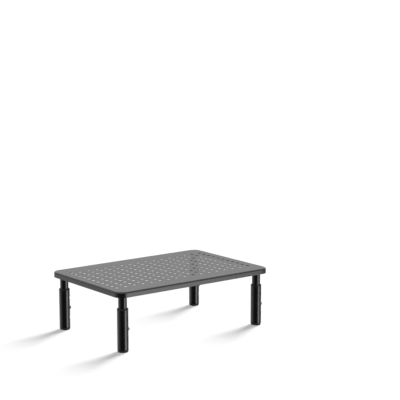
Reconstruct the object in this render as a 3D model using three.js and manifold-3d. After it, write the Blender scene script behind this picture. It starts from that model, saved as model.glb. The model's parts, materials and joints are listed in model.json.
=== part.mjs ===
// Monitor riser: a perforated sheet-steel platform on four telescopic legs with snap-button locks.
// Millimetres, +Z up. X runs along the long side and the user sits towards -Y. The origin is on the
// floor under the middle of the platform, and every leg stands at its middle height setting.
import * as THREE from 'three';
import { mergeVertices } from 'three/addons/utils/BufferGeometryUtils.js';
import Module from 'manifold-3d';

const wasm = await Module();
wasm.setup();

// Driving dimensions of the platform
const WIDTH = 370;
const DEPTH = 248;
const HEIGHT = 120;
const SHEET = 0.9;
const RIM_HEIGHT = 11;
const CORNER_RADIUS = 18;
const BEND_RADIUS = 3;
const HOLE_COLUMNS = 17;
const HOLE_ROWS = 11;
const HOLE_PITCH_X = 20.3;
const HOLE_PITCH_Y = 16.2;
const HOLE_RADIUS = 3.6;

// Driving dimensions of a leg
const LEG_INSET = 19.5;
const GAP = 0.3;
const WALL = 1.2;
const OUTER_RADIUS = 10.8;
const INNER_RADIUS = 8.4;
const OUTER_BORE = OUTER_RADIUS - WALL;
const INNER_BORE = INNER_RADIUS - WALL;
const HEIGHT_STEP = 20;
const LOCK_Z = 45;
const LOCK_HOLE_RADIUS = 3.6;
const BUTTON_RADIUS = 3.2;
const BUTTON_TIP = 13.1;
const STUD_RADIUS = 3.9;

// Levels along a leg, from the floor up
const PAD_TOP = 1.4;
const CAP_BOTTOM = PAD_TOP + GAP;
const CAP_TOP = 4.7;
const TUBE_BOTTOM = CAP_TOP + GAP;
const CAP_PLUG_TOP = 8;
const GLIDE_BOTTOM = 30;
const GLIDE_TOP = 32.2;
const BUSH_BOTTOM = 71;
const BUSH_FLANGE_BOTTOM = 82.8;
const BUSH_TOP = 84.6;
const INNER_TOP = 108.2;
const STUD_FLANGE_TOP = INNER_TOP + GAP + WALL;
const BOSS_BOTTOM = STUD_FLANGE_TOP + GAP;
const SHEET_UNDERSIDE = HEIGHT - SHEET;
const NUT_PLATE_TOP = SHEET_UNDERSIDE - GAP;

// Where each leg stands, and which way its snap button faces. The legs screw into the platform,
// so the buttons of one stand do not all end up facing the same way.
const LEGS = [
  { name: 'front_left', side: -1, row: -1, buttonAngle: -46 },
  { name: 'front_right', side: 1, row: -1, buttonAngle: -60 },
  { name: 'rear_left', side: -1, row: 1, buttonAngle: -32 },
  { name: 'rear_right', side: 1, row: 1, buttonAngle: -40 },
];

const TUBE_SEGMENTS = 24;
const SMALL_SEGMENTS = 12;

const MATERIALS = {
  platform: { color: 0x232426, roughness: 0.4, metalness: 0.5 },
  tube: { color: 0x17181a, roughness: 0.35, metalness: 0.5 },
  plastic: { color: 0x121314, roughness: 0.6, metalness: 0 },
  rubber: { color: 0x0c0c0d, roughness: 0.9, metalness: 0 },
  zinc: { color: 0xa3a6a8, roughness: 0.4, metalness: 0.9 },
  button: { color: 0x3a3c3f, roughness: 0.3, metalness: 0.9 },
};

function toSolid(geometry) {
  const bare = geometry.clone();
  bare.deleteAttribute('normal');
  bare.deleteAttribute('uv');
  const merged = mergeVertices(bare, 1e-4);
  const mesh = new wasm.Mesh({
    numProp: 3,
    vertProperties: new Float32Array(merged.attributes.position.array),
    triVerts: new Uint32Array(merged.index.array),
  });
  return new wasm.Manifold(mesh);
}

function toGeometry(solid) {
  const mesh = solid.getMesh();
  const geometry = new THREE.BufferGeometry();
  geometry.setAttribute('position', new THREE.BufferAttribute(mesh.vertProperties, 3));
  geometry.setIndex(new THREE.BufferAttribute(mesh.triVerts, 1));
  geometry.computeVertexNormals();
  return geometry;
}

function piece(name, geometry, materialName) {
  const mesh = new THREE.Mesh(geometry, new THREE.MeshStandardMaterial(MATERIALS[materialName]));
  mesh.name = name;
  return mesh;
}

// Turns a profile of [radius, z] points about the Z axis. It starts and ends on the axis, or closes.
function revolve(profile, segments) {
  const points = profile.map(([radius, z]) => new THREE.Vector2(radius, z));
  return new THREE.LatheGeometry(points, segments).rotateX(Math.PI / 2);
}

function ring(innerRadius, outerRadius, bottom, top) {
  const profile = [
    [innerRadius, bottom],
    [outerRadius, bottom],
    [outerRadius, top],
    [innerRadius, top],
    [innerRadius, bottom],
  ];
  return revolve(profile, TUBE_SEGMENTS);
}

// A solid rod along local +X, at height z
function crossRod(radius, start, end, z) {
  const rod = new THREE.CylinderGeometry(radius, radius, end - start, SMALL_SEGMENTS);
  return rod.rotateZ(Math.PI / 2).translate((start + end) / 2, 0, z);
}

function roundedRectangle(width, depth, radius) {
  const x = width / 2 - radius;
  const y = depth / 2 - radius;
  const quarter = Math.PI / 2;
  const shape = new THREE.Shape();
  shape.absarc(x, y, radius, 0, quarter);
  shape.absarc(-x, y, radius, quarter, 2 * quarter);
  shape.absarc(-x, -y, radius, 2 * quarter, 3 * quarter);
  shape.absarc(x, -y, radius, 3 * quarter, 4 * quarter);
  shape.closePath();
  return shape;
}

// A block in the outline of the platform, set in by `inset`, with its upper edge rounded over
function roundedBlock(inset, top, bend, straight) {
  const trim = 2 * (inset + bend);
  const outline = roundedRectangle(WIDTH - trim, DEPTH - trim, CORNER_RADIUS - inset - bend);
  const block = new THREE.ExtrudeGeometry(outline, {
    depth: straight,
    bevelThickness: bend,
    bevelSize: bend,
    bevelSegments: 3,
    curveSegments: 8,
  });
  return block.translate(0, 0, top - bend - straight);
}

function perforation() {
  const shapes = [];
  for (let column = 0; column < HOLE_COLUMNS; column += 1) {
    for (let row = 0; row < HOLE_ROWS; row += 1) {
      const x = (column - (HOLE_COLUMNS - 1) / 2) * HOLE_PITCH_X;
      const y = (row - (HOLE_ROWS - 1) / 2) * HOLE_PITCH_Y;
      const hole = new THREE.Shape();
      hole.absarc(x, y, HOLE_RADIUS, 0, 2 * Math.PI);
      shapes.push(hole);
    }
  }
  const prisms = new THREE.ExtrudeGeometry(shapes, {
    depth: 3 * SHEET,
    bevelEnabled: false,
    curveSegments: 4,
  });
  return prisms.translate(0, 0, HEIGHT - 2 * SHEET);
}

// One pressed sheet: flat perforated top, rounded bend and a short rim turned down all round
function makePlatform() {
  const outside = toSolid(roundedBlock(0, HEIGHT, BEND_RADIUS, RIM_HEIGHT));
  const inside = toSolid(roundedBlock(SHEET, SHEET_UNDERSIDE, BEND_RADIUS - SHEET, 2 * RIM_HEIGHT));
  const waste = new THREE.BoxGeometry(2 * WIDTH, 2 * DEPTH, HEIGHT);
  waste.translate(0, 0, HEIGHT / 2 - RIM_HEIGHT);
  const sheet = outside.subtract(toSolid(waste)).subtract(inside);
  return piece('platform', toGeometry(sheet.subtract(toSolid(perforation()))), 'platform');
}

// Square plate welded under the sheet, with a threaded boss for the leg's stud
function makeNutPlate(name) {
  const size = 24;
  const thickness = 2.3;
  const bossRadius = 7;
  const outline = roundedRectangle(size, size, 4);
  const plate = new THREE.ExtrudeGeometry(outline, {
    depth: thickness,
    bevelEnabled: false,
    curveSegments: 3,
  });
  plate.translate(0, 0, NUT_PLATE_TOP - thickness);
  const boss = revolve([
    [0, BOSS_BOTTOM],
    [bossRadius, BOSS_BOTTOM],
    [bossRadius, NUT_PLATE_TOP - thickness / 2],
    [0, NUT_PLATE_TOP - thickness / 2],
  ], TUBE_SEGMENTS);
  const boreRadius = STUD_RADIUS + GAP;
  const bore = revolve([
    [0, BOSS_BOTTOM - 1],
    [boreRadius, BOSS_BOTTOM - 1],
    [boreRadius, HEIGHT],
    [0, HEIGHT],
  ], SMALL_SEGMENTS);
  const solid = toSolid(plate).add(toSolid(boss)).subtract(toSolid(bore));
  return piece(name, toGeometry(solid), 'platform');
}

// Plug pressed into the top of the inner tube, with the stud that screws into the nut plate
function makeStudPlug(name) {
  const plugRadius = INNER_BORE - GAP;
  const profile = [
    [0, 96],
    [plugRadius, 96],
    [plugRadius, INNER_TOP + GAP],
    [INNER_RADIUS, INNER_TOP + GAP],
    [INNER_RADIUS, STUD_FLANGE_TOP],
    [STUD_RADIUS, STUD_FLANGE_TOP],
    [STUD_RADIUS, NUT_PLATE_TOP - 1],
    [STUD_RADIUS - 0.8, NUT_PLATE_TOP - GAP],
    [0, NUT_PLATE_TOP - GAP],
  ];
  return piece(name, revolve(profile, SMALL_SEGMENTS), 'zinc');
}

function makeInnerTube(name) {
  const tube = toSolid(ring(INNER_BORE, INNER_RADIUS, GLIDE_TOP + GAP, INNER_TOP));
  const hole = toSolid(crossRod(BUTTON_RADIUS + GAP, INNER_BORE / 2, OUTER_RADIUS, LOCK_Z));
  return piece(name, toGeometry(tube.subtract(hole)), 'tube');
}

// Plastic plug in the lower end of the inner tube, whose flange slides in the outer tube
function makeGlidePlug(name) {
  const plugRadius = INNER_BORE - GAP;
  const profile = [
    [0, GLIDE_BOTTOM],
    [OUTER_BORE - GAP, GLIDE_BOTTOM],
    [OUTER_BORE - GAP, GLIDE_TOP],
    [plugRadius, GLIDE_TOP],
    [plugRadius, GLIDE_TOP + 5],
    [0, GLIDE_TOP + 5],
  ];
  return piece(name, revolve(profile, TUBE_SEGMENTS), 'plastic');
}

// Strip of spring steel folded to a hairpin: one arm lies on the far wall of the inner tube and
// the other pushes the snap button outwards
function makeSpringClip(name) {
  const thickness = 0.8;
  const width = 5;
  const backX = -5.6;
  const armX = 3.5;
  const foldRadius = 2.2;
  const foldZ = LOCK_Z + 15;
  const endZ = LOCK_Z - 4;
  const line = new THREE.CurvePath();
  const foldX = backX + foldRadius;
  const fold = new THREE.EllipseCurve(foldX, foldZ, foldRadius, foldRadius, Math.PI, 0, true);
  const corners = [
    new THREE.Vector2(backX, endZ),
    new THREE.Vector2(backX, foldZ),
    new THREE.Vector2(foldX + foldRadius, foldZ),
    new THREE.Vector2(armX, LOCK_Z + 4),
    new THREE.Vector2(armX, endZ),
  ];
  line.add(new THREE.LineCurve(corners[0], corners[1]));
  line.add(fold);
  line.add(new THREE.LineCurve(corners[2], corners[3]));
  line.add(new THREE.LineCurve(corners[3], corners[4]));
  const middle = line.getPoints(6);
  const left = [];
  const right = [];
  middle.forEach((point, index) => {
    const before = middle[Math.max(index - 1, 0)];
    const after = middle[Math.min(index + 1, middle.length - 1)];
    const across = after.clone().sub(before).normalize();
    const half = thickness / 2;
    left.push(new THREE.Vector2(point.x - across.y * half, point.y + across.x * half));
    right.push(new THREE.Vector2(point.x + across.y * half, point.y - across.x * half));
  });
  const strip = new THREE.Shape(left.concat(right.reverse()));
  const clip = new THREE.ExtrudeGeometry(strip, { depth: width, bevelEnabled: false });
  clip.rotateX(Math.PI / 2).translate(0, width / 2, 0);
  return piece(name, clip, 'zinc');
}

// Round-nosed pin with a flange inside the inner tube, standing out through both tubes
function makeSnapButton(name) {
  const noseLength = 2.2;
  const noseSteps = 4;
  const shoulder = BUTTON_TIP - noseLength;
  const profile = [[0, 4.2], [4.2, 4.2], [4.2, 5], [BUTTON_RADIUS, 5]];
  for (let step = 0; step <= noseSteps; step += 1) {
    const angle = (step / noseSteps) * (Math.PI / 2);
    const radius = step === noseSteps ? 0 : BUTTON_RADIUS * Math.cos(angle);
    profile.push([radius, shoulder + noseLength * Math.sin(angle)]);
  }
  const button = revolve(profile, SMALL_SEGMENTS).rotateY(Math.PI / 2);
  return piece(name, button.translate(0, 0, LOCK_Z), 'button');
}

// Plastic bush that closes the mouth of the outer tube and guides the inner tube
function makeGuideBush(name) {
  const bore = INNER_RADIUS + GAP;
  const sleeve = OUTER_BORE - GAP;
  const profile = [
    [bore, BUSH_BOTTOM],
    [sleeve, BUSH_BOTTOM],
    [sleeve, BUSH_FLANGE_BOTTOM],
    [OUTER_RADIUS, BUSH_FLANGE_BOTTOM],
    [OUTER_RADIUS, BUSH_TOP - 0.8],
    [OUTER_RADIUS - 0.8, BUSH_TOP],
    [bore, BUSH_TOP],
    [bore, BUSH_BOTTOM],
  ];
  return piece(name, revolve(profile, TUBE_SEGMENTS), 'plastic');
}

// Outer tube with three lock holes, one for each height setting
function makeOuterTube(name) {
  const top = BUSH_FLANGE_BOTTOM - GAP;
  let tube = toSolid(ring(OUTER_BORE, OUTER_RADIUS, TUBE_BOTTOM, top));
  for (const step of [-1, 0, 1]) {
    const z = LOCK_Z + step * HEIGHT_STEP;
    const hole = crossRod(LOCK_HOLE_RADIUS, INNER_RADIUS, OUTER_RADIUS + 1, z);
    tube = tube.subtract(toSolid(hole));
  }
  return piece(name, toGeometry(tube), 'tube');
}

// Plastic cap pushed into the lower end of the outer tube, rounded towards the floor
function makeFootCap(name) {
  const round = 1.6;
  const steps = 3;
  const profile = [[0, CAP_BOTTOM]];
  for (let step = 0; step <= steps; step += 1) {
    const angle = (step / steps) * (Math.PI / 2);
    const radius = OUTER_RADIUS - round + round * Math.sin(angle);
    profile.push([radius, CAP_BOTTOM + round - round * Math.cos(angle)]);
  }
  profile.push([OUTER_RADIUS, CAP_TOP]);
  profile.push([OUTER_BORE - GAP, CAP_TOP]);
  profile.push([OUTER_BORE - GAP, CAP_PLUG_TOP]);
  profile.push([0, CAP_PLUG_TOP]);
  return piece(name, revolve(profile, TUBE_SEGMENTS), 'plastic');
}

function makeFootPad(name) {
  const radius = 10;
  const profile = [
    [0, 0],
    [radius - 0.5, 0],
    [radius, 0.5],
    [radius, PAD_TOP],
    [0, PAD_TOP],
  ];
  return piece(name, revolve(profile, TUBE_SEGMENTS), 'rubber');
}

const stand = new THREE.Group();
stand.add(makePlatform());
for (const { name, side, row, buttonAngle } of LEGS) {
  const x = side * (WIDTH / 2 - LEG_INSET);
  const y = row * (DEPTH / 2 - LEG_INSET);
  const nutPlate = makeNutPlate(`nut_plate_${name}`);
  nutPlate.position.set(x, y, 0);
  stand.add(nutPlate);
  const leg = new THREE.Group();
  leg.position.set(x, y, 0);
  leg.rotation.z = THREE.MathUtils.degToRad(buttonAngle);
  leg.add(makeStudPlug(`stud_plug_${name}`));
  leg.add(makeInnerTube(`inner_tube_${name}`));
  leg.add(makeGlidePlug(`glide_plug_${name}`));
  leg.add(makeSpringClip(`spring_clip_${name}`));
  leg.add(makeSnapButton(`snap_button_${name}`));
  leg.add(makeGuideBush(`guide_bush_${name}`));
  leg.add(makeOuterTube(`outer_tube_${name}`));
  leg.add(makeFootCap(`foot_cap_${name}`));
  leg.add(makeFootPad(`foot_pad_${name}`));
  stand.add(leg);
}

export default stand;
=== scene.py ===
import json
import math

import bmesh
import bpy
from mathutils import Matrix, Vector

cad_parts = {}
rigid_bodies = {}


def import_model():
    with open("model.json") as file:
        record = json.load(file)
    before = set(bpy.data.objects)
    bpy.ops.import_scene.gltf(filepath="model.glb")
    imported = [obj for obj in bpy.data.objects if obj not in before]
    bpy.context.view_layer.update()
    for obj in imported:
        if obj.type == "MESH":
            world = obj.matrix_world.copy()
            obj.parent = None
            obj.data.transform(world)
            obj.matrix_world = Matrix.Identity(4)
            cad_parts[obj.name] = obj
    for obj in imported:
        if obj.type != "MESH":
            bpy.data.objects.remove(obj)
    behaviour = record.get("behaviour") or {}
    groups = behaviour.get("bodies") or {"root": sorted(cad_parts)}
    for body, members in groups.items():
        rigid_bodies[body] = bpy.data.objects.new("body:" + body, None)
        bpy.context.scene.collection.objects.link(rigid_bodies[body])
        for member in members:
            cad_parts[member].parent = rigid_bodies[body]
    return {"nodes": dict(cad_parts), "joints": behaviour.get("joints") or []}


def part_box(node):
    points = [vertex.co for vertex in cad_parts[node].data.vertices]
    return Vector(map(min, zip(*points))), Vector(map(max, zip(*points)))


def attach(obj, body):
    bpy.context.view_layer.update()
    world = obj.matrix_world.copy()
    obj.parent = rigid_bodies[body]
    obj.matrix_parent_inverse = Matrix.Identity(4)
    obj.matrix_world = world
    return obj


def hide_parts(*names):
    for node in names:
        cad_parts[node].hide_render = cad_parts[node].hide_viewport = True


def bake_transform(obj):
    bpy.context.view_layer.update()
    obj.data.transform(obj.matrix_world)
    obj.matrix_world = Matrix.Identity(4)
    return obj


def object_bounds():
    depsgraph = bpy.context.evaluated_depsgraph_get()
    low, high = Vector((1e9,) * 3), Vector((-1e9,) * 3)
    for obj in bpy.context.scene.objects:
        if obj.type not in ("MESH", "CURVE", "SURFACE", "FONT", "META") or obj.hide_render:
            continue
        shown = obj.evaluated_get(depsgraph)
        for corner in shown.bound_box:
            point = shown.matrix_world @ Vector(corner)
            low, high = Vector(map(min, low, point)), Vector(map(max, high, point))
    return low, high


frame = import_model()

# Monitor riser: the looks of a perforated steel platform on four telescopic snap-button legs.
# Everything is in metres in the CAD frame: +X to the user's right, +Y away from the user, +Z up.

CAD_LOW, CAD_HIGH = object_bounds()
MM = 0.001
LEGS = ("front_left", "front_right", "rear_left", "rear_right")

# The sheet of the platform and the holes punched in it
SHEET = 0.9 * MM
BEND_RADIUS = 3.0 * MM
CORNER_RADIUS = 18.0 * MM
SHEET_EDGE = 0.25 * MM
HOLE_COLUMNS = 17
HOLE_ROWS = 11
HOLE_PITCH = Vector((20.3, 16.2)) * MM
HOLE_RADIUS = 3.6 * MM
HOLE_EDGE = 0.15 * MM

# The tubes, what fits in them, and the step from one lock hole to the next
WALL = 1.2 * MM
GAP = 0.3 * MM
TUBE_EDGE = 0.3 * MM
HEIGHT_STEP = 20.0 * MM
LOCK_HOLE_RADIUS = 3.6 * MM
LOCK_HOLE_EDGE = 0.2 * MM
BUTTON_RADIUS = 3.2 * MM

# How fine the meshes are: steps along a cell's side, a small rounding, the button's nose, a
# full turn of a turned part, and the plain back of a tube
CELL_SIDE = 8
ROUND_STEPS = 5
NOSE_STEPS = 10
FINE_TURN = 72
TUBE_BACK_STEPS = 60

# How far the cell of a lock hole reaches round the tube, to either side of the hole's axis
LOCK_CELL_ANGLE = math.radians(30)

# Where a small rounded edge has its middle point, as a share of the edge's size from each face
EDGE_MIDDLE = 0.3

# Edges that turn by more than this stay sharp, and points closer than this are one point
SHARP_ANGLE = math.radians(38)
MERGE_DISTANCE = 0.001 * MM
SAME_LEVEL = 1e-7

# Most of a noise texture lies between these values
NOISE_RANGE = (0.3, 0.7)

# Blender's measure of how convex a surface is, on a flat and on a full edge
FLAT_POINTINESS = 0.52
EDGE_POINTINESS = 0.62

# The camera, in metres, millimetres and degrees
CAMERA_PLACE = (-1.4376, -1.9821, 0.6534)
CAMERA_PITCH_DOWN = 9.069
CAMERA_TURN_RIGHT = 37.82
LENS = 110.6
SENSOR = 36

# What the paint mirrors: the sine of the elevation, and how bright the studio is there
STUDIO_WALLS = (
    (-1.0, 0.05),
    (-0.06, 0.05),
    (-0.01, 0.42),
    (0.18, 0.5),
    (0.28, 1.4),
    (0.42, 1.4),
    (0.62, 0.6),
    (0.76, 1.4),
    (0.88, 1.4),
    (0.96, 0.1),
    (1.0, 0.05),
)
WALL_BRIGHTNESS = 1.4

# Just below the horizon, between these sines of the elevation, the walls end
HORIZON = (-0.05, -0.02)

# Below it the paint mirrors a pale floor. Toward the dark side, behind the camera, the floor
# darkens between these cosines of the angle to that side, down to a small share of the walls
BELOW_BRIGHTNESS = 0.55
DARK_SIDE_AZIMUTH = -130
DARK_SIDE_EDGE = (0.45, 0.85)
DARK_SIDE_SHARE = 0.03

# How bright the surroundings are to mat surfaces, and to the camera
DIM_BRIGHTNESS = 0.06
BACKDROP_BRIGHTNESS = 1.05

# How far the lamps stand from the middle of the floor, and how far the floor reaches, in metres
SUN_DISTANCE = 3
CARD_DISTANCE = 2.6
FLOOR_REACH = 40


def cell_steps():
    """Steps along one side of a square cell that divide a circle inside it evenly."""
    angles = [90 * step / CELL_SIDE - 45 for step in range(CELL_SIDE + 1)]
    return [math.tan(math.radians(angle)) for angle in angles]


CELL_STEPS = cell_steps()


# ---------------------------------------------------------------- what the frame says


def leg_axis(leg):
    """The point on the floor under a leg's centre line."""
    low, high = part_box(f"outer_tube_{leg}")
    middle = (low + high) / 2
    return Vector((middle.x, middle.y, 0))


def button_direction(leg):
    """The way a leg's button faces: against the axis of the joint that presses it in."""
    joint = next(j for j in frame["joints"] if j["name"] == f"press_{leg}")
    return -Vector(joint["axis"])


def corners_of(node):
    """The places of a CAD node's vertices."""
    return [vertex.co for vertex in frame["nodes"][node].data.vertices]


def radius_of(node, leg):
    """The largest distance of a node from its leg's centre line."""
    axis = leg_axis(leg)
    return max((corner.xy - axis.xy).length for corner in corners_of(node))


def levels_of(node):
    """The lowest and highest z of a node."""
    low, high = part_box(node)
    return low.z, high.z


def in_leg_place(leg):
    """The matrix from a leg's own frame, whose +X runs out through the button, to the CAD frame."""
    direction = button_direction(leg)
    turn = Matrix.Rotation(math.atan2(direction.y, direction.x), 4, "Z")
    return Matrix.Translation(leg_axis(leg)) @ turn


# ---------------------------------------------------------------- mesh helpers


def ring(mesh, points):
    return [mesh.verts.new(point) for point in points]


def bridge(mesh, one, other):
    """Quads between two closed rings with as many vertices."""
    for here in range(len(one)):
        there = (here + 1) % len(one)
        mesh.faces.new((one[here], one[there], other[there], other[here]))


def bridge_all(mesh, rings, closed=False):
    for one, other in zip(rings, rings[1:]):
        bridge(mesh, one, other)
    if closed:
        bridge(mesh, rings[-1], rings[0])


def circle_points(radius, z, count=FINE_TURN):
    turns = [2 * math.pi * step / count for step in range(count)]
    return [(radius * math.cos(turn), radius * math.sin(turn), z) for turn in turns]


def arc_between(before, corner, after, radius):
    """The points of the arc that rounds a corner off."""
    toward_before = (before - corner).normalized()
    toward_after = (after - corner).normalized()
    half_angle = toward_before.angle(toward_after) / 2
    centre_way = (toward_before + toward_after).normalized()
    centre = corner + centre_way * (radius / math.sin(half_angle))
    reach = radius / math.tan(half_angle)
    start = corner + toward_before * reach - centre
    end = corner + toward_after * reach - centre
    shares = [step / ROUND_STEPS for step in range(ROUND_STEPS + 1)]
    return [centre + radius * start.slerp(end, share) for share in shares]


def rounded(corners, closed=True):
    """A line through (x, y, fillet radius) corners, with each corner rounded off."""
    places = [Vector(corner[:2]) for corner in corners]
    points = []
    for index, corner in enumerate(corners):
        is_end = not closed and index in (0, len(corners) - 1)
        if is_end or corner[2] == 0:
            points.append(places[index])
            continue
        after = places[(index + 1) % len(corners)]
        points += arc_between(places[index - 1], places[index], after, corner[2])
    return points


def fan(mesh, pole, edge):
    """Closes a ring with triangles to one vertex."""
    for here in range(len(edge)):
        mesh.faces.new((pole, edge[here], edge[(here + 1) % len(edge)]))


def turned_part(corners, closed=True):
    """Turns (radius, z, fillet radius) corners about Z. Open ones start and end on the axis."""
    profile = rounded(corners, closed)
    mesh = bmesh.new()
    if closed:
        bridge_all(mesh, [ring(mesh, circle_points(r, z)) for r, z in profile], closed=True)
        return mesh
    rings = [ring(mesh, circle_points(r, z)) for r, z in profile[1:-1]]
    bridge_all(mesh, rings)
    for pole_point, edge in ((profile[0], rings[0]), (profile[-1], rings[-1])):
        fan(mesh, mesh.verts.new((0, 0, pole_point[1])), edge)
    return mesh


def add_piece(name, mesh, material, body, replaced=(), place=None):
    """Turns a mesh into a smooth-shaded piece. It rides on the body, if one is named."""
    bmesh.ops.remove_doubles(mesh, verts=mesh.verts, dist=MERGE_DISTANCE)
    bmesh.ops.recalc_face_normals(mesh, faces=mesh.faces)
    if place:
        bmesh.ops.transform(mesh, matrix=place, verts=mesh.verts)
    for face in mesh.faces:
        face.smooth = True
    for edge in mesh.edges:
        edge.smooth = edge.calc_face_angle(0) < SHARP_ANGLE
    data = bpy.data.meshes.new(name)
    mesh.to_mesh(data)
    mesh.free()
    data.materials.append(material)
    piece = bpy.data.objects.new(name, data)
    bpy.context.scene.collection.objects.link(piece)
    weighted = piece.modifiers.new("even_normals", "WEIGHTED_NORMAL")
    weighted.keep_sharp = True
    if body:
        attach(piece, body)
    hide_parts(*replaced)
    return piece


# ---------------------------------------------------------------- materials


class Nodes:
    """Short calls for building a node tree."""

    def __init__(self, tree):
        self.tree = tree
        tree.nodes.clear()

    def add(self, kind, inputs=None, **settings):
        node = self.tree.nodes.new(kind)
        for key, value in settings.items():
            setattr(node, key, value)
        for key, value in (inputs or {}).items():
            self.put(node.inputs[key], value)
        return node

    def put(self, socket, value):
        if isinstance(value, bpy.types.NodeSocket):
            self.tree.links.new(value, socket)
        else:
            socket.default_value = value

    def noise(self, scale, detail=2.0, roughness=0.5):
        place = self.add("ShaderNodeTexCoord").outputs["Object"]
        inputs = {"Vector": place, "Scale": scale, "Detail": detail, "Roughness": roughness}
        return self.add("ShaderNodeTexNoise", inputs).outputs["Fac"]

    def spread(self, value, low, high, out_low, out_high):
        """Carries the range from low to high onto the range from out_low to out_high."""
        inputs = {
            "Value": value,
            "From Min": low,
            "From Max": high,
            "To Min": out_low,
            "To Max": out_high,
        }
        return self.add("ShaderNodeMapRange", inputs).outputs["Result"]

    def vary(self, noise, low, high):
        """Lets a noise texture drive a value from low to high."""
        return self.spread(noise, *NOISE_RANGE, low, high)

    def background(self, color, strength):
        inputs = {"Color": color, "Strength": strength}
        return self.add("ShaderNodeBackground", inputs).outputs["Background"]

    def mix_shaders(self, factor, one, other):
        return self.add("ShaderNodeMixShader", {0: factor, 1: one, 2: other}).outputs["Shader"]

    def blend_colors(self, factor, one, other):
        node = self.add("ShaderNodeMix", data_type="RGBA")
        self.put(node.inputs[0], factor)
        self.put(node.inputs[6], one)
        self.put(node.inputs[7], other)
        return node.outputs[2]

    def bump(self, height, strength, distance, under=None):
        inputs = {"Height": height, "Strength": strength, "Distance": distance}
        if under is not None:
            inputs["Normal"] = under
        return self.add("ShaderNodeBump", inputs).outputs["Normal"]


def grey(level, warmth=0.0):
    """A grey of that brightness, warmer or, with a negative warmth, cooler."""
    return (level * (1 + warmth), level, level * (1 - warmth), 1)


def new_shader(name):
    material = bpy.data.materials.new(name)
    material.use_nodes = True
    nodes = Nodes(material.node_tree)
    shader = nodes.add("ShaderNodeBsdfPrincipled")
    output = nodes.add("ShaderNodeOutputMaterial")
    nodes.put(output.inputs["Surface"], shader.outputs["BSDF"])
    return material, nodes, shader


def worn_edges(nodes):
    """0 on flats and up to 1 on convex edges, where the coating is thinner."""
    pointiness = nodes.add("ShaderNodeNewGeometry").outputs["Pointiness"]
    return nodes.spread(pointiness, FLAT_POINTINESS, EDGE_POINTINESS, 0, 1)


def powder_coat(name, base, roughness, grain):
    """Black powder coat: orange peel, a finer grain in it and slightly uneven gloss."""
    material, nodes, shader = new_shader(name)
    clouds = nodes.noise(scale=60, detail=3)
    peel = nodes.noise(scale=750, detail=2)
    grit = nodes.noise(scale=4200, detail=1)
    tone = nodes.spread(clouds, 0.35, 0.65, 0, 1)
    color = nodes.blend_colors(tone, grey(base * 0.85), grey(base * 1.15))
    wear = nodes.spread(worn_edges(nodes), 0, 1, 0, 0.35)
    worn = nodes.blend_colors(wear, color, grey(base * 3))
    soft = nodes.bump(peel, strength=0.12 * grain, distance=0.05 * MM)
    fine = nodes.bump(grit, strength=0.2 * grain, distance=0.01 * MM, under=soft)
    nodes.put(shader.inputs["Base Color"], worn)
    nodes.put(shader.inputs["Roughness"], nodes.vary(peel, roughness - 0.04, roughness + 0.04))
    nodes.put(shader.inputs["Normal"], fine)
    return material


def moulded_plastic(name, base):
    """Black polypropylene with a fine spark-eroded grain."""
    material, nodes, shader = new_shader(name)
    grain = nodes.noise(scale=2600, detail=3, roughness=0.6)
    color = nodes.blend_colors(grain, grey(base * 0.8), grey(base * 1.3))
    nodes.put(shader.inputs["Base Color"], color)
    nodes.put(shader.inputs["Roughness"], nodes.vary(grain, 0.42, 0.56))
    nodes.put(shader.inputs["Normal"], nodes.bump(grain, strength=0.5, distance=0.02 * MM))
    return material


def soft_rubber(name, base):
    """Matt rubber with a faint bloom and small specks."""
    material, nodes, shader = new_shader(name)
    bloom = nodes.noise(scale=180, detail=4, roughness=0.6)
    specks = nodes.noise(scale=3000, detail=2)
    color = nodes.blend_colors(bloom, grey(base * 0.7), grey(base * 1.6, warmth=0.04))
    nodes.put(shader.inputs["Base Color"], color)
    nodes.put(shader.inputs["Roughness"], nodes.vary(bloom, 0.78, 0.92))
    nodes.put(shader.inputs["Normal"], nodes.bump(specks, strength=0.6, distance=0.03 * MM))
    return material


def plated_steel(name, base, roughness):
    """Plated steel: fine drawing marks round the axis, cloudy tone, brighter edges."""
    material, nodes, shader = new_shader(name)
    shader.inputs["Metallic"].default_value = 1.0
    place = nodes.add("ShaderNodeTexCoord").outputs["Object"]
    stretched = nodes.add("ShaderNodeMapping", {"Vector": place, "Scale": (0.2, 0.2, 3.0)})
    drawn = {"Vector": stretched.outputs["Vector"], "Scale": 2400, "Detail": 2}
    marks = nodes.add("ShaderNodeTexNoise", drawn).outputs["Fac"]
    clouds = nodes.noise(scale=220, detail=3)
    cool = grey(base * 0.8, warmth=-0.01)
    warm = grey(base * 1.15, warmth=0.01)
    color = nodes.blend_colors(clouds, cool, warm)
    bright_edged = nodes.blend_colors(worn_edges(nodes), color, grey(base * 1.5))
    nodes.put(shader.inputs["Base Color"], bright_edged)
    nodes.put(shader.inputs["Roughness"], nodes.vary(marks, roughness - 0.08, roughness + 0.1))
    nodes.put(shader.inputs["Normal"], nodes.bump(marks, strength=0.25, distance=0.01 * MM))
    return material


PLATFORM_PAINT = powder_coat("platform_powder_coat", base=0.004, roughness=0.26, grain=1.0)
TUBE_PAINT = powder_coat("tube_powder_coat", base=0.003, roughness=0.24, grain=0.5)
PLASTIC = moulded_plastic("black_moulded_plastic", base=0.003)
RUBBER = soft_rubber("black_rubber", base=0.004)
ZINC = plated_steel("zinc_plated_steel", base=0.45, roughness=0.34)
BUTTON_STEEL = plated_steel("dark_nickel_steel", base=0.14, roughness=0.24)


# ---------------------------------------------------------------- platform


def cell_outline():
    """One turn round a square cell of half-size 1, in the order of rising angle."""
    right = [(1, step) for step in CELL_STEPS[:-1]]
    top = [(-step, 1) for step in CELL_STEPS[:-1]]
    left = [(-1, -step) for step in CELL_STEPS[:-1]]
    bottom = [(step, -1) for step in CELL_STEPS[:-1]]
    return right + top + left + bottom


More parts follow.
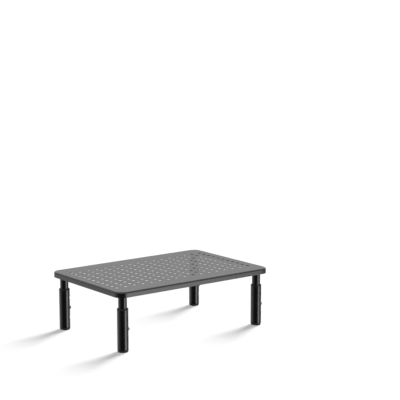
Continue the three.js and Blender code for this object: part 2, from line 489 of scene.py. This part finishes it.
def hole_columns():
    """The x of each column of holes."""
    return [(column - (HOLE_COLUMNS - 1) / 2) * HOLE_PITCH.x for column in range(HOLE_COLUMNS)]


def hole_rows():
    """The y of each row of holes."""
    return [(row - (HOLE_ROWS - 1) / 2) * HOLE_PITCH.y for row in range(HOLE_ROWS)]


def perforation_outline():
    """The outline of the whole perforated field, through the same points as its outer cells."""
    half = HOLE_PITCH / 2
    along_x = [x + half.x * step for x in hole_columns() for step in CELL_STEPS[:-1]]
    along_y = [y + half.y * step for y in hole_rows() for step in CELL_STEPS[:-1]]
    edge_x = hole_columns()[-1] + half.x
    edge_y = hole_rows()[-1] + half.y
    right = [(edge_x, y) for y in along_y]
    top = [(-x, edge_y) for x in along_x]
    left = [(-edge_x, -y) for y in along_y]
    bottom = [(x, -edge_y) for x in along_x]
    return right + top + left + bottom


def onto_platform_outline(point, field, inset):
    """Carries a point of the field's outline to the platform's rounded outline, set in by inset."""
    half = Vector((CAD_HIGH.x - inset, CAD_HIGH.y - inset))
    radius = CORNER_RADIUS - inset
    target = Vector((point[0] / field.x * half.x, point[1] / field.y * half.y))
    side = Vector((math.copysign(1, target.x), math.copysign(1, target.y)))
    centre = Vector((side.x * (half.x - radius), side.y * (half.y - radius)))
    offset = target - centre
    if offset.x * side.x > 0 and offset.y * side.y > 0:
        return centre + offset.normalized() * radius
    return target


def platform_profile(top, rim_bottom):
    """(inset, z) round the section of the bent sheet, from the top face to the underside."""
    corners = [
        (BEND_RADIUS * 2, top, 0),
        (0, top, BEND_RADIUS),
        (0, rim_bottom, SHEET_EDGE),
        (SHEET, rim_bottom, SHEET_EDGE),
        (SHEET, top - SHEET, BEND_RADIUS - SHEET),
        (BEND_RADIUS * 2, top - SHEET, 0),
    ]
    return rounded(corners, closed=False)


def hole_wall(top, under):
    """(radius, z) down the wall of a punched hole, with a small chamfer at both faces."""
    edge = HOLE_EDGE
    upper = [
        (HOLE_RADIUS + edge, top),
        (HOLE_RADIUS + edge * EDGE_MIDDLE, top - edge * EDGE_MIDDLE),
        (HOLE_RADIUS, top - edge),
    ]
    return upper + [(radius, top + under - z) for radius, z in reversed(upper)]


def add_punched_cell(mesh, x, y, top, under):
    """One cell of the field: the sheet round a hole on both faces, and the wall of the hole."""
    half = HOLE_PITCH / 2
    outline = cell_outline()
    angles = [math.atan2(v, u) for u, v in outline]
    cell = [(x + half.x * u, y + half.y * v) for u, v in outline]
    rings = [ring(mesh, [(*point, top) for point in cell])]
    for radius, z in hole_wall(top, under):
        circle = [(x + radius * math.cos(a), y + radius * math.sin(a), z) for a in angles]
        rings.append(ring(mesh, circle))
    rings.append(ring(mesh, [(*point, under) for point in cell]))
    bridge_all(mesh, rings)


def add_margin_and_rim(mesh, top, under, rim_bottom):
    """The plain sheet round the field, the bend and the rim, back to the field's underside."""
    outline = perforation_outline()
    half = HOLE_PITCH / 2
    field = Vector((HOLE_COLUMNS * half.x, HOLE_ROWS * half.y))
    rings = [ring(mesh, [(*point, top) for point in outline])]
    for inset, z in platform_profile(top, rim_bottom):
        edge = [onto_platform_outline(point, field, inset) for point in outline]
        rings.append(ring(mesh, [(*point, z) for point in edge]))
    rings.append(ring(mesh, [(*point, under) for point in outline]))
    bridge_all(mesh, rings)


def make_platform():
    """The pressed sheet: a field of punched holes, a plain margin, and the rim turned down."""
    rim_bottom, top = levels_of("platform")
    under = top - SHEET
    mesh = bmesh.new()
    for x in hole_columns():
        for y in hole_rows():
            add_punched_cell(mesh, x, y, top, under)
    add_margin_and_rim(mesh, top, under, rim_bottom)
    add_piece("platform_sheet", mesh, PLATFORM_PAINT, "platform", ["platform"])


def rounded_square_point(angle, half, corner, z):
    """Where a ray from the centre leaves a square with rounded corners."""
    way = Vector((math.cos(angle), math.sin(angle)))
    straight = half - corner
    reach = half / max(abs(way.x), abs(way.y))
    point = way * reach
    if min(abs(point.x), abs(point.y)) > straight:
        centre = Vector((math.copysign(straight, way.x), math.copysign(straight, way.y)))
        along = way.dot(centre)
        point = way * (along + math.sqrt(along**2 - centre.length_squared + corner**2))
    return (point.x, point.y, z)


def make_nut_plate(leg):
    """Square plate with its threaded boss, welded under the sheet and coated with it."""
    node = f"nut_plate_{leg}"
    low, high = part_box(node)
    half = (high.x - low.x) / 2
    corner = 4.0 * MM
    thickness = 2.3 * MM
    edge = 0.4 * MM
    fillet = 1.0 * MM
    boss_radius = 7.0 * MM
    bore = 4.2 * MM
    face = high.z - thickness
    squares = [
        (half - edge, high.z),
        (half, high.z - edge),
        (half, face + edge),
        (half - edge, face),
    ]
    circles = [
        (boss_radius + fillet, face),
        (boss_radius + fillet * EDGE_MIDDLE, face - fillet * EDGE_MIDDLE),
        (boss_radius, face - fillet),
        (boss_radius, low.z + edge),
        (boss_radius - edge, low.z),
        (bore + edge, low.z),
        (bore, low.z + edge),
        (bore, high.z),
    ]
    turns = [2 * math.pi * step / FINE_TURN for step in range(FINE_TURN)]
    mesh = bmesh.new()
    rings = [
        ring(mesh, [rounded_square_point(turn, size, corner, z) for turn in turns])
        for size, z in squares
    ]
    rings += [ring(mesh, circle_points(radius, z)) for radius, z in circles]
    bridge_all(mesh, rings, closed=True)
    place = Matrix.Translation(leg_axis(leg))
    name = f"nut_plate_fine_{leg}"
    add_piece(name, mesh, PLATFORM_PAINT, "platform", [node], place)
    make_weld_beads(leg, half, high.z)


def weld_bead_rings(mesh, turn, half, z):
    """The rings of one rippled bead along a side of the nut plate, thinner at its ends."""
    length = 11.0 * MM
    size = 1.3 * MM
    wide, tall = 0.9, 0.8
    sunk = 0.5 * MM
    ripples, ripple_height = 9, 0.1
    stations, sides = 36, 16
    bluntness = 5
    thinnest = 0.0004
    rings = []
    for station in range(stations + 1):
        share = station / stations
        swell = max(1 - abs(2 * share - 1) ** bluntness, thinnest) ** 0.5
        ripple = ripple_height * math.sin(2 * math.pi * ripples * share)
        along = (share - 0.5) * length
        section = circle_points(size * swell * (1 + ripple), 0, sides)
        points = [(half + out * wide, along, z - sunk + up * tall) for out, up, _ in section]
        rings.append(ring(mesh, [turn @ Vector(point) for point in points]))
    return rings


def make_weld_beads(leg, half, z):
    """A short bead of weld along each side of the nut plate."""
    mesh = bmesh.new()
    for side in range(4):
        turn = Matrix.Rotation(side * math.pi / 2, 4, "Z")
        rings = weld_bead_rings(mesh, turn, half, z)
        bridge_all(mesh, rings)
        mesh.faces.new(rings[0])
        mesh.faces.new(rings[-1])
    place = Matrix.Translation(leg_axis(leg))
    name = f"weld_beads_{leg}"
    add_piece(name, mesh, PLATFORM_PAINT, "platform", (), place)


# ---------------------------------------------------------------- legs


def tube_angles():
    """Angles round a tube, from one side of a lock hole's cell to the other, then on round."""
    cell = [LOCK_CELL_ANGLE * step for step in CELL_STEPS]
    rest = 2 * math.pi - 2 * LOCK_CELL_ANGLE
    back = [LOCK_CELL_ANGLE + rest * step / TUBE_BACK_STEPS for step in range(1, TUBE_BACK_STEPS)]
    return cell + back


def tube_heights(bottom, top, lock_levels):
    """Levels of the rings of a tube, from its lower edge up, with a cell round each lock hole."""
    heights = [bottom + TUBE_EDGE]
    for level in lock_levels:
        heights += [level + HEIGHT_STEP / 2 * step for step in CELL_STEPS]
    heights.append(top - TUBE_EDGE)
    return [
        z for index, z in enumerate(heights) if index == 0 or z - heights[index - 1] > SAME_LEVEL
    ]


def find_cells(heights, lock_levels):
    """The index of each lock hole's lowest ring, with the level of the hole."""
    cells = {}
    for level in lock_levels:
        gaps = [abs(z - level + HEIGHT_STEP / 2) for z in heights]
        cells[gaps.index(min(gaps))] = level
    return cells


def add_tube_wall(mesh, rows, cells):
    """The faces of one wall of a tube, left open where lock holes go."""
    in_cells = {start + step for start in cells for step in range(CELL_SIDE)}
    around = len(rows[0])
    for row in range(len(rows) - 1):
        lower, upper = rows[row], rows[row + 1]
        for column in range(around):
            if row in in_cells and column < CELL_SIDE:
                continue
            beside = (column + 1) % around
            mesh.faces.new((lower[column], lower[beside], upper[beside], upper[column]))


def add_tube_end(mesh, outer_ring, inner_ring, outer, inner, z, outward):
    """The rounded end of a tube between its walls. outward is 1 at the top and -1 below."""
    tip = z + TUBE_EDGE * outward
    corners = [(outer, z, 0), (outer, tip, TUBE_EDGE), (inner, tip, TUBE_EDGE), (inner, z, 0)]
    rings = [outer_ring]
    for radius, height in rounded(corners, closed=False)[1:-1]:
        points = [(radius * math.cos(a), radius * math.sin(a), height) for a in tube_angles()]
        rings.append(ring(mesh, points))
    rings.append(inner_ring)
    bridge_all(mesh, rings)


def drilled_tube(outer, inner, bottom, top, lock_levels, hole_radius):
    """A tube with holes drilled through one wall, along +X, and its ends and holes deburred."""
    heights = tube_heights(bottom, top, lock_levels)
    cells = find_cells(heights, lock_levels)
    mesh = bmesh.new()
    walls = []
    for radius in (outer, inner):
        columns = [(radius * math.cos(a), radius * math.sin(a)) for a in tube_angles()]
        walls.append([ring(mesh, [(x, y, z) for x, y in columns]) for z in heights])
    for rows in walls:
        add_tube_wall(mesh, rows, cells)
    for start, level in cells.items():
        drill_hole(mesh, walls, start, level, hole_radius, outer, inner)
    for row, outward in ((0, -1), (-1, 1)):
        add_tube_end(mesh, walls[0][row], walls[1][row], outer, inner, heights[row], outward)
    return mesh


def drill_hole(mesh, walls, start, level, hole_radius, outer, inner):
    """Joins the open cells of both walls through a round hole with softened edges."""
    last = CELL_SIDE
    path = [(last, row) for row in range(last)] + [(last - column, last) for column in range(last)]
    path += [(0, last - row) for row in range(last)] + [(column, 0) for column in range(last)]
    turn = [math.atan2(CELL_STEPS[row], CELL_STEPS[column]) for column, row in path]
    edge = LOCK_HOLE_EDGE
    sections = [
        (outer, hole_radius + edge, 0),
        (outer, hole_radius + edge * EDGE_MIDDLE, -edge * EDGE_MIDDLE),
        (outer, hole_radius, -edge),
        (inner, hole_radius, edge),
        (inner, hole_radius + edge, 0),
    ]
    rings = [[walls[0][start + row][column] for column, row in path]]
    for surface, radius, depth in sections:
        points = []
        for angle in turn:
            y = radius * math.cos(angle)
            x = math.sqrt(surface**2 - y**2) + depth
            points.append((x, y, level + radius * math.sin(angle)))
        rings.append(ring(mesh, points))
    rings.append([walls[1][start + row][column] for column, row in path])
    bridge_all(mesh, rings)


def lock_level(leg):
    """The height of the snap button's centre line."""
    low, high = levels_of(f"snap_button_{leg}")
    return (low + high) / 2


def make_outer_tube(leg, place):
    """The lower tube of a leg, with three lock holes."""
    node = f"outer_tube_{leg}"
    bottom, top = levels_of(node)
    outer = radius_of(node, leg)
    levels = [lock_level(leg) + step * HEIGHT_STEP for step in (-1, 0, 1)]
    mesh = drilled_tube(outer, outer - WALL, bottom, top, levels, LOCK_HOLE_RADIUS)
    name = f"outer_tube_fine_{leg}"
    add_piece(name, mesh, TUBE_PAINT, f"leg_{leg}", [node], place)


def make_inner_tube(leg, place):
    """The upper tube of a leg, with one hole for the button."""
    node = f"inner_tube_{leg}"
    bottom, top = levels_of(node)
    outer = radius_of(node, leg)
    hole_radius = BUTTON_RADIUS + GAP
    mesh = drilled_tube(outer, outer - WALL, bottom, top, [lock_level(leg)], hole_radius)
    name = f"inner_tube_fine_{leg}"
    add_piece(name, mesh, TUBE_PAINT, "platform", [node], place)


def make_guide_bush(leg, place):
    """Moulded bush: a sleeve between the tubes and a flange on the end of the outer one."""
    node = f"guide_bush_{leg}"
    bottom, top = levels_of(node)
    tube_top = levels_of(f"outer_tube_{leg}")[1]
    flange = radius_of(node, leg)
    sleeve = flange - WALL - GAP
    bore = radius_of(f"inner_tube_{leg}", leg) + GAP
    corners = [
        (bore, bottom, 0.3 * MM),
        (sleeve, bottom, 0.3 * MM),
        (sleeve, tube_top + GAP, 0),
        (flange, tube_top + GAP, 0.2 * MM),
        (flange, top, 0.9 * MM),
        (bore, top, 0.4 * MM),
    ]
    mesh = turned_part(corners)
    name = f"guide_bush_fine_{leg}"
    add_piece(name, mesh, PLASTIC, f"leg_{leg}", [node], place)


def make_foot_cap(leg, place):
    """Moulded cap: a rounded end on the floor side and a plug inside the outer tube."""
    node = f"foot_cap_{leg}"
    bottom, top = levels_of(node)
    tube_bottom = levels_of(f"outer_tube_{leg}")[0]
    radius = radius_of(node, leg)
    plug = radius - WALL - GAP
    corners = [
        (0, bottom, 0),
        (radius, bottom, 1.6 * MM),
        (radius, tube_bottom - GAP, 0.2 * MM),
        (plug, tube_bottom - GAP, 0),
        (plug, top, 0.4 * MM),
        (0, top, 0),
    ]
    mesh = turned_part(corners, closed=False)
    name = f"foot_cap_fine_{leg}"
    add_piece(name, mesh, PLASTIC, f"leg_{leg}", [node], place)


def make_foot_pad(leg, place):
    """Rubber disc with three round grooves in its sole."""
    node = f"foot_pad_{leg}"
    bottom, top = levels_of(node)
    pad_radius = radius_of(node, leg)
    groove = 0.5 * MM
    corners = [(0, bottom, 0)]
    for radius in (2.2 * MM, 4.4 * MM, 6.6 * MM):
        corners += [
            (radius, bottom, 0.15 * MM),
            (radius + 0.3 * MM, bottom + groove, 0.1 * MM),
            (radius + 0.8 * MM, bottom + groove, 0.1 * MM),
            (radius + 1.1 * MM, bottom, 0.15 * MM),
        ]
    corners += [(pad_radius, bottom, 0.45 * MM), (pad_radius, top, 0.2 * MM), (0, top, 0)]
    mesh = turned_part(corners, closed=False)
    add_piece(f"foot_pad_fine_{leg}", mesh, RUBBER, f"leg_{leg}", [node], place)


def make_snap_button(leg, place):
    """Round-nosed pin with its flange inside the inner tube."""
    node = f"snap_button_{leg}"
    low, high = levels_of(node)
    flange_radius = (high - low) / 2
    flange_depth = 0.8 * MM
    direction = button_direction(leg)
    along = [(corner - leg_axis(leg)).dot(direction) for corner in corners_of(node)]
    back, tip = min(along), max(along)
    shoulder = tip - BUTTON_RADIUS
    nose = []
    for step in range(NOSE_STEPS):
        angle = step / NOSE_STEPS * math.pi / 2
        out = shoulder + BUTTON_RADIUS * math.sin(angle)
        nose.append((BUTTON_RADIUS * math.cos(angle), out, 0))
    corners = [
        (0, back, 0),
        (flange_radius, back, 0.2 * MM),
        (flange_radius, back + flange_depth, 0.2 * MM),
        (BUTTON_RADIUS, back + flange_depth, 0.15 * MM),
        *nose,
        (0, tip, 0),
    ]
    mesh = turned_part(corners, closed=False)
    lay_down = Matrix.Rotation(math.pi / 2, 4, "Y")
    at_level = place @ Matrix.Translation((0, 0, lock_level(leg))) @ lay_down
    name = f"snap_button_fine_{leg}"
    add_piece(name, mesh, BUTTON_STEEL, f"button_{leg}", [node], at_level)


def thread_rings(mesh, low, high, crest, depth):
    """Rings that rise along a stud and follow a helical thread, which fades out at both ends."""
    pitch = 1.25 * MM
    stations = 60
    left_at_end = 0.05
    rings = []
    for station in range(1, stations + 1):
        z = low + (high - low) * station / stations
        fade = min(1, (z - low) / pitch, (high - z) / pitch + left_at_end)
        points = []
        for step in range(FINE_TURN):
            turn = step / FINE_TURN
            phase = (z / pitch - turn) % 1
            radius = crest - depth + depth * fade * (1 - abs(2 * phase - 1))
            angle = 2 * math.pi * turn
            points.append((radius * math.cos(angle), radius * math.sin(angle), z))
        rings.append(ring(mesh, points))
    return rings


def make_stud_plug(leg, place):
    """Plug and flange, with a real helical thread on the stud."""
    node = f"stud_plug_{leg}"
    bottom, top = levels_of(node)
    flange = radius_of(node, leg)
    plug = flange - WALL - GAP
    flange_low = levels_of(f"inner_tube_{leg}")[1] + GAP
    flange_high = flange_low + WALL
    crest = 3.9 * MM
    depth = 0.55 * MM
    chamfer = 0.6 * MM
    end_radius = crest - depth - 0.5 * MM
    corners = [
        (0, bottom, 0),
        (plug, bottom, 0.5 * MM),
        (plug, flange_low, 0),
        (flange, flange_low, 0.3 * MM),
        (flange, flange_high, 0.3 * MM),
        (crest - depth, flange_high, 0),
    ]
    profile = rounded(corners, closed=False)
    mesh = bmesh.new()
    foot = mesh.verts.new((0, 0, bottom))
    rings = [ring(mesh, circle_points(radius, z)) for radius, z in profile[1:]]
    rings += thread_rings(mesh, flange_high, top - chamfer, crest, depth)
    rings.append(ring(mesh, circle_points(end_radius, top)))
    bridge_all(mesh, rings)
    fan(mesh, foot, rings[0])
    fan(mesh, mesh.verts.new((0, 0, top)), rings[-1])
    add_piece(f"stud_plug_fine_{leg}", mesh, ZINC, "platform", [node], place)


def make_glide_plug(leg, place):
    """Moulded plug in the end of the inner tube, with a flange that slides in the outer one."""
    node = f"glide_plug_{leg}"
    bottom, top = levels_of(node)
    tube_bottom = levels_of(f"inner_tube_{leg}")[0]
    flange = radius_of(node, leg)
    plug = radius_of(f"inner_tube_{leg}", leg) - WALL - GAP
    corners = [
        (0, bottom, 0),
        (flange, bottom, 0.5 * MM),
        (flange, tube_bottom - GAP, 0.5 * MM),
        (plug, tube_bottom - GAP, 0),
        (plug, top, 0.6 * MM),
        (0, top, 0),
    ]
    mesh = turned_part(corners, closed=False)
    name = f"glide_plug_fine_{leg}"
    add_piece(name, mesh, PLASTIC, "platform", [node], place)


def swept_strip(line, width, thickness):
    """A flat strip that follows a line of (x, z) points, with its width along Y."""
    half = Vector((width, thickness)) / 2
    edge = 0.25 * MM
    sides = ((-1, -1), (1, -1), (1, 1), (-1, 1))
    section = rounded([(half.x * across, half.y * face, edge) for across, face in sides])
    mesh = bmesh.new()
    rings = []
    for index, point in enumerate(line):
        before = line[max(index - 1, 0)]
        after = line[min(index + 1, len(line) - 1)]
        way = (after - before).normalized()
        out = Vector((-way.y, way.x))
        places = [(point.x + out.x * t, w, point.y + out.y * t) for w, t in section]
        rings.append(ring(mesh, places))
    bridge_all(mesh, rings)
    mesh.faces.new(rings[0])
    mesh.faces.new(rings[-1])
    return mesh


def make_spring_clip(leg, place):
    """Hairpin of spring strip: one arm on the far wall, the other on the button's side. It stays in
    place.
    """
    node = f"spring_clip_{leg}"
    low, high = levels_of(node)
    thickness = 0.8 * MM
    width = 5.0 * MM
    back_x = -5.6 * MM
    arm_x = 3.5 * MM
    arm_length = 8 * MM
    knee = 3 * MM
    fold = 2.2 * MM
    fold_top = high - thickness / 2
    corners = [
        (back_x, low, 0),
        (back_x, fold_top, fold),
        (back_x + 2 * fold, fold_top, fold),
        (arm_x, low + arm_length, knee),
        (arm_x, low, 0),
    ]
    mesh = swept_strip(rounded(corners, closed=False), width, thickness)
    piece = add_piece(f"spring_clip_fine_{leg}", mesh, ZINC, None, [node], place)
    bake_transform(piece)


def make_leg(leg):
    place = in_leg_place(leg)
    make_outer_tube(leg, place)
    make_inner_tube(leg, place)
    make_guide_bush(leg, place)
    make_foot_cap(leg, place)
    make_foot_pad(leg, place)
    make_snap_button(leg, place)
    make_stud_plug(leg, place)
    make_glide_plug(leg, place)
    make_spring_clip(leg, place)


# ---------------------------------------------------------------- studio


def make_camera():
    """A long lens, a little above the platform, in front of the left corner of the stand."""
    data = bpy.data.cameras.new("camera")
    data.sensor_width = SENSOR
    data.lens = LENS
    camera = bpy.data.objects.new("camera", data)
    camera.location = CAMERA_PLACE
    pitch = math.pi / 2 - math.radians(CAMERA_PITCH_DOWN)
    camera.rotation_euler = (pitch, 0, -math.radians(CAMERA_TURN_RIGHT))
    bpy.context.scene.collection.objects.link(camera)
    bpy.context.scene.camera = camera


def aim(lamp, target):
    way = Vector(target) - lamp.location
    lamp.rotation_euler = way.to_track_quat("-Z", "Y").to_euler()


def direction_of(azimuth, elevation):
    """The unit vector toward an azimuth (from +X, toward +Y) and an elevation, in degrees."""
    turn = math.radians(azimuth)
    rise = math.radians(elevation)
    level = math.cos(rise)
    return Vector((level * math.cos(turn), level * math.sin(turn), math.sin(rise)))


def make_lamp(name, kind, azimuth, elevation, distance):
    data = bpy.data.lights.new(name, kind)
    lamp = bpy.data.objects.new(name, data)
    lamp.location = direction_of(azimuth, elevation) * distance
    aim(lamp, (0, 0, 0))
    lamp.visible_camera = False
    bpy.context.scene.collection.objects.link(lamp)
    return lamp


def make_room_light(name, azimuth, elevation, spread, strength):
    """Even light on the floor and on mat surfaces, left out of reflections."""
    lamp = make_lamp(name, "SUN", azimuth, elevation, SUN_DISTANCE)
    lamp.data.angle = math.radians(spread)
    lamp.data.energy = strength
    lamp.data.cycles.use_multiple_importance_sampling = False
    lamp.visible_glossy = False
    return lamp


def make_card(name, azimuth, elevation, size, power):
    """A lit card that shows in the gloss of the paint and adds nothing to mat surfaces."""
    lamp = make_lamp(name, "AREA", azimuth, elevation, CARD_DISTANCE)
    lamp.data.shape = "RECTANGLE"
    lamp.data.size, lamp.data.size_y = size
    lamp.data.energy = power
    lamp.visible_diffuse = False
    return lamp


def shadow_casters():
    """The pieces of the legs. The platform sends no shadow of the key light to the floor."""
    legs = bpy.data.collections.new("shadow_casters")
    under_platform = ("nut_plate", "weld_beads")
    for piece in bpy.context.scene.collection.objects:
        if piece.name.endswith(LEGS) and not piece.name.startswith(under_platform):
            legs.objects.link(piece)
    return legs


def make_lights():
    key = make_room_light("key", azimuth=20, elevation=36, spread=24, strength=3.35)
    key.light_linking.blocker_collection = shadow_casters()
    fill = make_room_light("fill", azimuth=20, elevation=89, spread=5, strength=1.5)
    fill.data.use_shadow = False
    make_card("card_front_right", azimuth=-64, elevation=-16, size=(1.5, 1.2), power=21)
    make_card("card_left", azimuth=128, elevation=-16, size=(2.4, 1.2), power=5)


def wall_colors(nodes, height):
    """The colours of the studio walls by height, as shares of the wall brightness."""
    ramp = nodes.add("ShaderNodeValToRGB", {"Fac": nodes.spread(height, -1, 1, 0, 1)})
    elements = ramp.color_ramp.elements
    for _ in STUDIO_WALLS[2:]:
        elements.new(0.5)
    for element, (level, brightness) in zip(elements, STUDIO_WALLS):
        element.position = (level + 1) / 2
        element.color = grey(brightness / WALL_BRIGHTNESS)
    return ramp.outputs["Color"]


def below_brightness(nodes, way):
    """How bright it is below the horizon in a direction, as a share of the wall brightness."""
    toward_dark_side = direction_of(DARK_SIDE_AZIMUTH, 0)
    inputs = {0: way, 1: toward_dark_side}
    side = nodes.add("ShaderNodeVectorMath", inputs, operation="DOT_PRODUCT").outputs["Value"]
    pale_share = BELOW_BRIGHTNESS / WALL_BRIGHTNESS
    return nodes.spread(side, *DARK_SIDE_EDGE, pale_share, DARK_SIDE_SHARE)


def make_world():
    """Plain white to the camera and dim to mat surfaces. The gloss of the paint sees the walls."""
    world = bpy.data.worlds.new("studio")
    world.use_nodes = True
    bpy.context.scene.world = world
    nodes = Nodes(world.node_tree)
    way = nodes.add("ShaderNodeTexCoord").outputs["Generated"]
    height = nodes.add("ShaderNodeSeparateXYZ", {"Vector": way}).outputs["Z"]
    is_below = nodes.spread(height, *HORIZON, 1, 0)
    around = nodes.blend_colors(is_below, wall_colors(nodes, height), below_brightness(nodes, way))
    rays = nodes.add("ShaderNodeLightPath").outputs
    walls = nodes.background(around, WALL_BRIGHTNESS)
    dim = nodes.background(grey(1), DIM_BRIGHTNESS)
    plain = nodes.background(grey(1), BACKDROP_BRIGHTNESS)
    lit = nodes.mix_shaders(rays["Is Glossy Ray"], dim, walls)
    shown = nodes.mix_shaders(rays["Is Camera Ray"], lit, plain)
    output = nodes.add("ShaderNodeOutputWorld")
    nodes.put(output.inputs["Surface"], shown)


def make_floor_material():
    """Pale and mat from above, and clear from underneath."""
    material, nodes, shader = new_shader("pale_floor")
    tone = nodes.noise(scale=1.5, detail=2)
    nodes.put(shader.inputs["Base Color"], nodes.blend_colors(tone, grey(0.88), grey(0.9)))
    shader.inputs["Roughness"].default_value = 0.9
    shader.inputs["Specular IOR Level"].default_value = 0
    from_under = nodes.add("ShaderNodeNewGeometry").outputs["Backfacing"]
    clear = nodes.add("ShaderNodeBsdfTransparent").outputs["BSDF"]
    one_sided = nodes.mix_shaders(from_under, shader.outputs["BSDF"], clear)
    output = next(node for node in nodes.tree.nodes if node.type == "OUTPUT_MATERIAL")
    nodes.put(output.inputs["Surface"], one_sided)
    return material


def make_floor():
    """A wide floor under the stand."""
    sides = ((-1, -1), (1, -1), (1, 1), (-1, 1))
    corners = [(FLOOR_REACH * x, FLOOR_REACH * y, 0) for x, y in sides]
    data = bpy.data.meshes.new("floor")
    data.from_pydata(corners, [], [range(4)])
    data.materials.append(make_floor_material())
    floor = bpy.data.objects.new("floor", data)
    floor.visible_glossy = False
    floor.visible_shadow = False
    bpy.context.scene.collection.objects.link(floor)


bpy.context.scene.view_settings.view_transform = "Standard"
make_camera()
make_world()
make_floor()
make_platform()
for leg_name in LEGS:
    make_nut_plate(leg_name)
    make_leg(leg_name)
make_lights()
